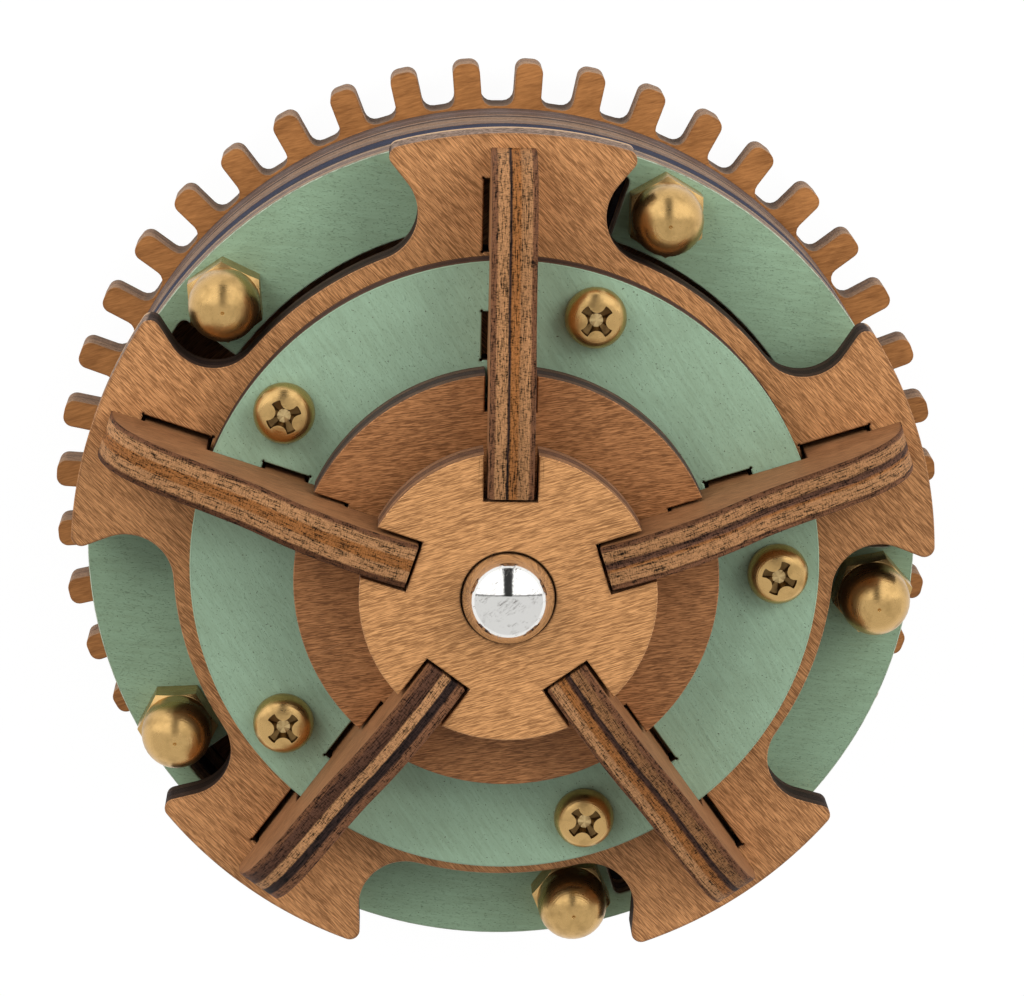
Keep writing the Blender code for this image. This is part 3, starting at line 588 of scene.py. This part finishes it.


# Drum: a plywood web, two rings with lugs at the clamp screws and a near black blue ring, stacked
# dry. That ring's dark blue is painted shade for the shaded gap on the drum's side. Between the
# lugs it is hollow, and its side shows the scorched plies.

drum_radius = 41.4
rim_inner = 39.2
sector_inner = 32.75
bush_hole = 5.3
web_wall = plies("web_side", 4.28, plain_bands((0.120, 0.082, 0.066), (0.090, 0.058, 0.046)), 0.45)
rear_wall = plies("rear_ring_side", 2.78, ((0.0, (0.24, 0.165, 0.125)), (0.18, (0.24, 0.165, 0.125)),
                                           (0.28, (0.045, 0.030, 0.025)), (0.46, (0.060, 0.040, 0.032)),
                                           (0.56, (0.22, 0.145, 0.100)), (1.0, (0.22, 0.145, 0.100))), 0.35)
front_wall = plies("front_ring_side", 2.62, ((0.0, (0.24, 0.160, 0.110)), (0.40, (0.24, 0.160, 0.110)),
                                             (0.50, (0.17, 0.115, 0.085)), (1.0, (0.19, 0.130, 0.098))), 0.35)
# Painted shade: the groove ring is near black blue on its wall and faces, for the shaded gap there.
groove_shade_wall = plies("groove_painted_shade_side", 3.54, plain_bands((0.026, 0.030, 0.050), (0.014, 0.016, 0.030)), 0.3)
drum_wood = veneer("drum_veneer", (0.26, 0.13, 0.06), 40.0)
groove_shade_wood = veneer("groove_painted_shade_veneer", (0.030, 0.030, 0.042), 0.0)


def sector_cuts(bm, lead, tail):
    """The inner edge of a drum ring: a thin rim with one sector reaching in at each clamp screw."""
    corner = 0.7
    pivot = rim_inner - corner
    corner_turn = math.degrees(math.asin(corner / pivot))
    wall_end = pivot * math.cos(math.radians(corner_turn))
    edge = Cut(bm, *polar(sector_inner, first_nut - tail))
    edge.arc(0.0, 0.0, lead + tail, 16)
    edge.run(*polar(wall_end, first_nut + lead))
    edge.arc(*polar(pivot, first_nut + lead + corner_turn), 90.0 + corner_turn, 4)
    edge.arc(0.0, 0.0, fifth - lead - tail - 2 * corner_turn, 10)
    edge.arc(*polar(pivot, first_nut - tail - corner_turn + fifth), 90.0 + corner_turn, 4)
    edge.run(*polar(sector_inner, first_nut - tail + fifth))
    repeat_round(bm, 5)


bm = bmesh.new()
hole(bm, drum_radius, 180)
hole(bm, bush_hole, 48)
clamp_holes(bm)
sheet(bm, 5.16, 9.44)
piece("drum_web_piece", bm, "drum", "drum_plywood", [drum_wood, web_wall, drum_wood])
for name, back_height, front_height, flat, wall, slot in (
        ("drum_ring_rear", 9.46, 12.24, drum_wood, rear_wall, "drum_plywood"),
        ("drum_ring_front", 12.26, 14.88, drum_wood, front_wall, "drum_plywood"),
        ("groove_ring", 14.90, 18.44, groove_shade_wood, groove_shade_wall, "dark_plywood")):
    bm = bmesh.new()
    sector_cuts(bm, 7.5, 7.5)
    hole(bm, drum_radius, 180)
    clamp_holes(bm)
    sheet(bm, back_height, front_height)
    piece(name + "_piece", bm, "drum", slot, [flat, wall, flat])


# Base plate: the drum's front, 4 mm plywood painted sage green before it was cut, so its walls
# are bare and scorched. Its sectors reach in under the domed nuts and leave gaps between them.

def green_paint(name, colour, angle):
    """Thin matt paint through which the grain shows as soft waves and small dark pores."""
    paint = Finish(name, specular=0.35)
    waves = grain_noise(paint, angle, (4.0, 0.40, 1.0), 4.0, 0.5)
    cloud = grain_noise(paint, angle + 50.0, (11.0, 7.0, 5.0), 3.0)
    share = ((waves - 0.5) * 1.8 + (cloud - 0.5) * 1.6 + 0.5).clamped()
    shade = paint.blend(share, tint(colour, 0.87), tint(colour, 1.12))
    pores = grain_noise(paint, angle, (0.42, 0.055, 0.5), 1.0).rise(0.64, 0.72)
    shade = paint.blend(pores * 0.40, shade, tint(colour, 0.42))
    dots = grain_noise(paint, 0.0, (0.16, 0.16, 0.16), 0.0).rise(0.795, 0.83)
    shade = paint.blend(dots * 0.8, shade, (0.055, 0.040, 0.030))
    edge = paint.add("ShaderNodeAttribute", {"attribute_name": "scorched"}, output=2)
    shade = paint.blend((edge + (waves - 0.5) * 0.6).rise(0.55, 1.1) * 0.35, shade, tint(colour, 0.55))
    paint.feed({"Base Color": shade, "Roughness": 0.58 + waves * 0.10})
    paint.relief(waves * 0.8 - pores * 0.6, 0.00004)
    return paint


sage = green_paint("sage_paint", (0.275, 0.398, 0.260), -6.0)
pale_rim = plies("paint_edge", 4.0, ((0.0, (0.30, 0.36, 0.27)), (1.0, (0.34, 0.40, 0.30))), 0.5,
                 (0.09, 0.08, 0.06))
base_wall = plies("base_side", 4.0, plain_bands((0.30, 0.21, 0.145), (0.11, 0.075, 0.058)), 0.4)
bm = bmesh.new()
sector_cuts(bm, 6.5, 42.0)
hole(bm, drum_radius, 180)
clamp_holes(bm)
sheet(bm, 18.46, 22.6)
piece("base_plate_piece", bm, "drum", "green_paint", [sage, base_wall, pale_rim])


# Clamp screws and domed nuts: five brass screws run through the drum from the back, and an
# M4 domed nut with 7 mm flats draws each one tight. The nuts stand in the spider's windows.

def lathed(name, colour, roughness, dark, tarnish=0.5):
    """Turned metal with fine lathe rings round the axis of each piece, kept in its grain."""
    shine = metal(name, colour, roughness, dark, tarnish)
    ring = shine.add("ShaderNodeCombineXYZ", None, {0: from_middle(shine) * 7.0, 1: height_in(shine) * 7.0})
    rings = shine.add("ShaderNodeTexNoise", None, {"Vector": ring, "Scale": 1.0, "Detail": 2.0})
    shine.relief(rings, 0.00002)
    return shine


def keep_axis(bm):
    """Stores where each point lies from the axis of its own piece."""
    grain = bm.verts.layers.float_vector.new("grain")
    for vert in bm.verts:
        vert[grain] = vert.co


fastener_brass = lathed("fastener_brass", (0.65, 0.415, 0.162), 0.28, (0.24, 0.145, 0.045))
# Painted shade: a dark brass lines the walls of each cross recess.
recess_shade = metal("recess_painted_shade", (0.20, 0.12, 0.045), 0.45, (0.07, 0.04, 0.02))
# Painted highlight: a light brass at the middle of each recess floor.
recess_painted_highlight = metal("recess_painted_highlight", (0.74, 0.54, 0.26), 0.40, (0.40, 0.26, 0.10))


def cross_recess(bm, dome, depth, angle):
    """Closes a head's open round rim with a crown that has a tapered cross recess in it.

    The crown bulges by dome over its rim, and the four pockets widen outwards round a flat middle.
    """
    rim = [edge for edge in bm.edges if edge.is_boundary]
    first = rim[0].verts[0].co
    height = first.z
    rim_radius = first.xy.length
    cross = bmesh.new()
    pocket = Cut(cross, 1.66, -0.46)
    for x, y in ((1.72, -0.2), (1.72, 0.2), (1.66, 0.46), (1.25, 0.38), (0.93, 0.42), (0.70, 0.55),
                 (0.55, 0.70), (0.42, 0.93), (0.38, 1.25), (0.46, 1.66)):
        pocket.run(x, y)
    repeat_round(cross, 4)
    turn(cross, angle)
    for vert in cross.verts:
        vert.co.z = height + dome * (1.0 - (vert.co.xy.length / rim_radius) ** 2)
    scratch = bpy.data.meshes.new("cross")
    cross.to_mesh(scratch)
    cross.free()
    old = set(bm.edges)
    bm.from_mesh(scratch)
    bpy.data.meshes.remove(scratch)
    slot_rim = [edge for edge in bm.edges if edge not in old]
    bmesh.ops.triangle_fill(bm, edges=rim + slot_rim, use_beauty=True, normal=(0.0, 0.0, 1.0))
    before = set(bm.faces)
    wall = loop_up(bm, slot_rim, depth * 0.45, 0.93)
    wall = loop_up(bm, wall, depth * 0.55)
    for vert in {vert for edge in wall for vert in edge.verts}:
        vert.co.xy = vert.co.xy.normalized() * 0.66
    # The pocket walls take the second finish, painted shade.
    for face in bm.faces:
        if face not in before:
            face.material_index = 1
    floor = bmesh.ops.contextual_create(bm, geom=wall)["faces"]
    # The poked middle of the floor takes the third finish, a painted highlight.
    centre = bmesh.ops.poke(bm, faces=floor)
    for face in centre["faces"]:
        face.material_index = 2
    for vert in centre["verts"]:
        vert.co.z -= depth * 0.15


flat_reach = 3.5
thread = 2.0
dome_foot = 4.56
dome_height = 3.62
dome_radius = 3.49
nut_corners = (30.0, 35.0, 3.0, 54.0, 12.0)
for i in range(5):
    spot = polar(nut_circle, first_nut + fifth * i)
    bm = turned([(3.1, 0.0), (3.75, 0.0), (3.75, 0.12), (thread, 1.85), (thread, 24.9), (1.7, 25.0),
                 (0.0, 25.0)], 32)
    cross_recess(bm, 0.0, 1.0, 17.0 * i)
    bmesh.ops.recalc_face_normals(bm, faces=bm.faces)
    keep_axis(bm)
    bmesh.ops.translate(bm, verts=bm.verts, vec=(*spot, gear_back))
    piece(f"clamp_screw_{i + 1}_piece", bm, "drum", "fastener_brass",
          [fastener_brass, recess_shade, recess_painted_highlight])

    bm = bmesh.new()
    hole(bm, flat_reach * 2.0 / math.sqrt(3.0), 6)
    bmesh.ops.subdivide_edges(bm, edges=bm.edges[:], cuts=5)
    seat = bm.edges[:]
    rim = loop_up(bm, seat, 3.2)
    for vert in {vert for edge in rim for vert in edge.verts}:
        vert.co.z -= (vert.co.xy.length - flat_reach) * 0.62
    rim = loop_up(bm, rim, 0.0)
    for vert in {vert for edge in rim for vert in edge.verts}:
        vert.co = Vector((*(vert.co.xy.normalized() * flat_reach), 3.2))
    rim = loop_up(bm, rim, 0.05, 0.997)
    rim = loop_up(bm, rim, 1.31)
    height = dome_foot
    radius = dome_radius
    for step in range(1, 14):
        rise = math.radians(90.0 * step / 14)
        level = dome_foot + dome_height * math.sin(rise)
        rim = loop_up(bm, rim, level - height, dome_radius * math.cos(rise) / radius)
        height = level
        radius = dome_radius * math.cos(rise)
    rim = loop_up(bm, rim, 8.17 - height, 0.50)
    rim = loop_up(bm, rim, -0.06, 0.6)
    rim = loop_up(bm, rim, 0.10, 0.5)
    bmesh.ops.contextual_create(bm, geom=rim)
    seat = loop_up(bm, seat, 0.0, 0.6)
    for vert in {vert for edge in seat for vert in edge.verts}:
        vert.co = Vector((*(vert.co.xy.normalized() * 2.1), 0.0))
    bore = loop_up(bm, seat, 5.5)
    bmesh.ops.contextual_create(bm, geom=bore)
    bmesh.ops.recalc_face_normals(bm, faces=bm.faces)
    keep_axis(bm)
    turn(bm, nut_corners[i] - 30.0)
    bmesh.ops.translate(bm, verts=bm.verts, vec=(*spot, 22.62))
    piece(f"domed_nut_{i + 1}_piece", bm, "drum", "fastener_brass", [fastener_brass], sharp=25)


# Arm plate: the spider's 4 mm plywood back plate. Five arms stand between windows that open at
# the rim, so the domed nuts can travel, and each arm has a slot for its rib.

arm_radius = 42.6
window_half = 4.7
window_end = 21.7
tip_round = 1.0
tip_setback = 1.05
arm_back = 24.7
arm_wood = veneer("arm_veneer", (0.408, 0.186, 0.070), -46.0, (2.8, 0.14), 1.8, 1.0)
arm_wall = plies("arm_wall", 4.0, plain_bands((0.046, 0.027, 0.019), (0.014, 0.008, 0.006)), 0.7)


def rib_slots(bm, inner, outer, relief=0.14):
    """A slot for each rib with a small round relief at each corner.

    A rib leans on one side of its slots, so the room shows on the other side.
    """
    for i, low in enumerate((-2.25, -2.8, -2.8, -2.25, -2.25)):
        high = low + 5.05
        drawn = set(bm.verts)
        slot = Cut(bm, inner + relief, low)
        slot.run(outer - relief, low)
        slot.arc(outer, low, 270.0, 6)
        slot.run(outer, high - relief)
        slot.arc(outer, high, 270.0, 6)
        slot.run(inner + relief, high)
        slot.arc(inner, high, 270.0, 6)
        slot.run(inner, low + relief)
        slot.arc(inner, low, 270.0, 6)
        turn(bm, 90.0 + fifth * i, verts=[vert for vert in bm.verts if vert not in drawn])
    bmesh.ops.remove_doubles(bm, verts=bm.verts, dist=0.001)


def arms(bm):
    """Repeats what was drawn along the x axis at each arm. The first arm points up."""
    turn(bm, 90.0)
    repeat_round(bm, 5)


ring_screw_circle = 26.7
ring_screw_lag = 17.7


def screw_hole(bm, radius):
    """The hole for a ring screw, behind an arm along the x axis."""
    hole(bm, radius, 20, *polar(ring_screw_circle, -ring_screw_lag))


rim = from_middle(arm_wall).rise(42.2, 42.5)
ashes = grain_noise(arm_wall, 0.0, (0.45, 0.45, 0.30), 3.0).rise(0.42, 0.58)
over(arm_wall, rim * (0.22 + ashes * 0.66), (0.33, 0.225, 0.165))
over(arm_wall, rim * (1.0 - height_in(arm_wall).rise(0.5, 1.0)) * 0.85, (0.60, 0.40, 0.235))
tip_middle = arm_radius - tip_round
reach = window_half + tip_round
share = (nut_circle ** 2 + tip_middle ** 2 - reach ** 2) / (2 * nut_circle * tip_middle)
tip_angle = window_end - math.degrees(math.acos(share)) - tip_setback
tip = Matrix.Rotation(math.radians(tip_angle), 2) @ Vector((tip_middle, 0.0))
end = Matrix.Rotation(math.radians(window_end), 2) @ Vector((nut_circle, 0.0))
joint = math.degrees(math.atan2(tip.y - end.y, tip.x - end.x) - math.acos(reach / (tip - end).length))
bm = bmesh.new()
half_arm = Cut(bm, arm_radius, 0.0)
half_arm.arc(0.0, 0.0, tip_angle, 12)
half_arm.arc(tip.x, tip.y, joint + 180.0 - tip_angle, 10)
half_arm.run(end.x + window_half * math.cos(math.radians(joint)),
             end.y + window_half * math.sin(math.radians(joint)))
half_arm.arc(end.x, end.y, window_end - 180.0 - joint, 24)
half_arm.arc(0.0, 0.0, 36.0 - window_end, 8)
bmesh.ops.mirror(bm, geom=bm.verts[:] + bm.edges[:], matrix=Matrix.Identity(4), merge_dist=0.001, axis="Y")
screw_hole(bm, 1.8)
arms(bm)
rib_slots(bm, 31.0, 38.2)
hole(bm, bush_hole, 48)
sheet(bm, arm_back, arm_back + 4.14)
piece("arm_plate_piece", bm, "spider", "arm_plywood", [arm_wood, arm_wall, arm_wood])


# Painted ring: a sage green ring of thin plywood, screwed to the arm plate by five brass pan
# head screws with a nut behind. The ribs pass through its slots.

ring_sage = green_paint("ring_paint", (0.292, 0.418, 0.288), 124.0)
ring_wall = plies("ring_side", 2.98, plain_bands((0.090, 0.050, 0.034), (0.030, 0.018, 0.014)), 0.6)
bm = bmesh.new()
screw_hole(bm, 1.8)
arms(bm)
rib_slots(bm, 21.0, 25.8)
hole(bm, 30.8, 144)
hole(bm, 7.0, 48)
sheet(bm, 28.86, 31.84)
piece("painted_ring_piece", bm, "spider", "green_paint", [ring_sage, ring_wall, ring_sage])

crown = [(2.05, 2.08), (2.35, 1.88), (2.60, 1.62), (2.80, 1.28), (2.93, 0.90), (3.0, 0.50), (2.98, 0.12),
         (2.90, 0.0)]
shank = [(1.5, 0.0), (1.5, -9.7), (1.2, -10.0), (0.0, -10.0)]
cross_turns = (45.0, 27.0, 45.0, 38.0, 70.0)
for i in range(5):
    spot = polar(ring_screw_circle, 90.0 - ring_screw_lag + fifth * i)
    bm = turned(crown + shank, 48)
    cross_recess(bm, 0.32, -0.85, cross_turns[i])
    bmesh.ops.recalc_face_normals(bm, faces=bm.faces)
    keep_axis(bm)
    bmesh.ops.translate(bm, verts=bm.verts, vec=(*spot, 31.86))
    piece(f"ring_screw_{i + 1}_piece", bm, "spider", "fastener_brass",
          [fastener_brass, recess_shade, recess_painted_highlight])
    dress([f"ring_nut_{i + 1}"], axle_brass)


# Mid disc and hub: two notched discs of 4 mm plywood, stained dark and left light, that hold the
# inner ends of the ribs. A thin spacer between them lifts the hub and seats the ball.

mid_wood = veneer("mid_veneer", (0.290, 0.120, 0.042), 8.0, (1.9, 0.13), 2.0, 1.4, 0.15)
scratches = grain_noise(mid_wood, 24.0, (7.0, 0.10, 1.0), 1.0, 0.2).rise(0.72, 0.76)
over(mid_wood, scratches * 0.35, (0.48, 0.25, 0.12))
mid_wall = plies("mid_side", 4.28, plain_bands((0.120, 0.074, 0.052), (0.036, 0.024, 0.020)), 0.75)
hub_wood = veneer("hub_veneer", (0.450, 0.212, 0.078), 17.0, (2.4, 0.14), 1.5, 0.9, 0.15)
hub_wall = plies("hub_side", 4.0, plain_bands((0.26, 0.135, 0.070), (0.085, 0.042, 0.024)), 0.5)


def notched_rim(bm, radius, notch, half, steps):
    """A round rim with a square notch for a rib at each arm."""
    side = math.degrees(math.asin(half / radius))
    rim = Cut(bm, notch, 0.0)
    rim.run(notch, half)
    rim.run(radius * math.cos(math.radians(side)), half)
    rim.arc(0.0, 0.0, 36.0 - side, steps)
    bmesh.ops.mirror(bm, geom=bm.verts[:] + bm.edges[:], matrix=Matrix.Identity(4), merge_dist=0.001,
                     axis="Y")
    arms(bm)


bm = bmesh.new()
notched_rim(bm, 20.6, 16.9, 2.5, 14)
hole(bm, 7.0, 48)
sheet(bm, 31.86, 36.14)
piece("mid_disc_piece", bm, "spider", "mid_plywood", [mid_wood, mid_wall, mid_wood])
bm = bmesh.new()
hole(bm, 8.95, 72)
hole(bm, 3.0, 32)
sheet(bm, 36.16, 37.44, 0.05)
piece("hub_spacer_piece", bm, "spider", "mid_plywood", [mid_wood, hub_wall, mid_wood])
bm = bmesh.new()
notched_rim(bm, 14.25, 9.45, 2.6, 12)
hole(bm, 4.6, 72)
sheet(bm, 37.46, 41.6)
piece("hub_disc_piece", bm, "spider", "hub_plywood", [hub_wood, hub_wall, hub_wood])


# Ribs: five pieces of 4 mm plywood that stand on edge, with a wavy crest from the hub down to
# the arm tip. Their feet fit the slots and notches of the discs, and the crest shows the plies.

rib_inner = 9.75
rib_outer = 41.2
crest_shares = ((0.0, 1.016), (0.176, 1.093), (0.337, 1.016), (0.465, 0.853), (0.561, 0.736),
                (0.721, 0.721), (0.833, 0.620), (0.929, 0.519), (1.0, 0.380), (1.0, 0.023))
rib_side = veneer("rib_veneer", (0.235, 0.105, 0.042), 4.0, (2.4, 0.22), 0.8, 0.9, 0.35)
edge_char = (0.140, 0.060, 0.028)
tan_ply = (0.325, 0.160, 0.068)
amber_ply = (0.245, 0.094, 0.026)
umber_ply = (0.105, 0.048, 0.028)
black_line = (0.020, 0.011, 0.009)
crest_plies = (
    ((0.0, edge_char), (0.12, edge_char), (0.15, tan_ply), (0.37, tan_ply), (0.40, black_line),
     (0.43, black_line), (0.46, amber_ply), (0.61, amber_ply), (0.66, tint(tan_ply, 0.8)), (0.86, tan_ply),
     (0.90, edge_char), (1.0, tint(edge_char, 0.8))),
    ((0.0, tint(edge_char, 0.5)), (0.11, tint(edge_char, 0.5)), (0.15, tan_ply), (0.37, tan_ply),
     (0.41, amber_ply), (0.63, amber_ply), (0.67, tint(tan_ply, 1.1)), (0.88, tint(tan_ply, 1.1)),
     (0.92, edge_char), (1.0, tint(edge_char, 0.7))),
    ((0.0, edge_char), (0.18, tint(edge_char, 1.3)), (0.22, black_line), (0.38, black_line),
     (0.41, tint(tan_ply, 1.2)), (0.60, tint(tan_ply, 1.2)), (0.63, tint(umber_ply, 0.6)),
     (0.86, tint(umber_ply, 0.8)), (0.91, edge_char), (1.0, edge_char)),
    ((0.0, edge_char), (0.13, edge_char), (0.17, tint(tan_ply, 0.6)), (0.38, tint(tan_ply, 0.7)),
     (0.41, black_line), (0.51, tint(umber_ply, 0.5)), (0.55, amber_ply), (0.70, amber_ply), (0.74, tan_ply),
     (0.90, tint(tan_ply, 1.1)), (0.94, tint(edge_char, 0.7)), (1.0, edge_char)),
    ((0.0, tint(edge_char, 0.6)), (0.10, edge_char), (0.14, tan_ply), (0.35, tint(tan_ply, 0.9)),
     (0.40, tint(umber_ply, 0.5)), (0.51, umber_ply), (0.56, amber_ply), (0.62, tan_ply), (0.86, tan_ply),
     (0.89, tint(edge_char, 0.6)), (0.93, edge_char), (1.0, edge_char)))

hub_seat = 36.16
foot = ((17.2, hub_seat), (21.3, 31.86), (25.5, 28.86), (31.3, 31.86), (37.9, 24.7), (rib_outer, 28.86))
for i in range(5):
    bm = bmesh.new()
    side = Cut(bm, rib_inner, hub_seat)
    level = hub_seat
    for radius, height in foot:
        if height != level:
            side.run(side.tip.co.x, height)
        side.run(radius, height)
        level = height
    bends = [Vector((rib_inner + x * (rib_outer - rib_inner), 28.7 + y * 12.9, 0.0)) for x, y in crest_shares]
    for k in (9, 6, 3):
        for point in interpolate_bezier(bends[k], bends[k - 1], bends[k - 2], bends[k - 3], 13)[1:]:
            side.run(point.x, point.y)
    side.run(rib_inner, hub_seat)
    bmesh.ops.remove_doubles(bm, verts=bm.verts, dist=0.02)
    sheet(bm, -2.2, 2.2)
    turn(bm, 90.0, "X")
    turn(bm, 90.0 + fifth * i)
    grain = bm.verts.layers.float_vector["grain"]
    for vert in bm.verts:
        vert[grain] += Vector((57.0 * i, 31.0 * i, 0.0))
    crest = plies(f"rib_crest_{i + 1}", 4.4, crest_plies[i], 0.75, mottle=1.3,
                  speck=(0.13, 0.13, 0.34))
    piece(f"rib_{i + 1}_piece", bm, "spider", "rib_plywood", [rib_side, crest, crest])


# Ball: a 9 mm polished steel ball that sits in the hub's hole on the spacer. It is scratched a
# little where it has been handled.

ball_chrome = Finish("ball_chrome", 0.06, 1.0)
scuffs = on_piece(ball_chrome, (0.9, 0.9, 0.9), 4.0)
lines = on_piece(ball_chrome, (1.1, 0.05, 0.3), 1.0, lean=0.7)
dots = on_piece(ball_chrome, (0.09, 0.09, 0.09), 2.0)
marks = scuffs.rise(0.52, 0.62) * (lines.rise(0.58, 0.66) + dots.rise(0.60, 0.68)).clamped()
marks = marks + dots.rise(0.70, 0.75) * 0.5
ball_chrome.feed({"Base Color": ball_chrome.blend(marks * 0.8, (0.86, 0.85, 0.82), (0.22, 0.20, 0.18)),
                  "Roughness": 0.05 + marks * 0.3 + scuffs * 0.03})
bm = bmesh.new()
bmesh.ops.create_uvsphere(bm, u_segments=96, v_segments=48, radius=4.5)
middle = (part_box("steel_ball")[0][2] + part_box("steel_ball")[1][2]) / 2 / MM
bmesh.ops.translate(bm, verts=bm.verts, vec=(0.0, 0.0, middle))
piece("steel_ball_piece", bm, "spider", "ball_chrome", [ball_chrome])
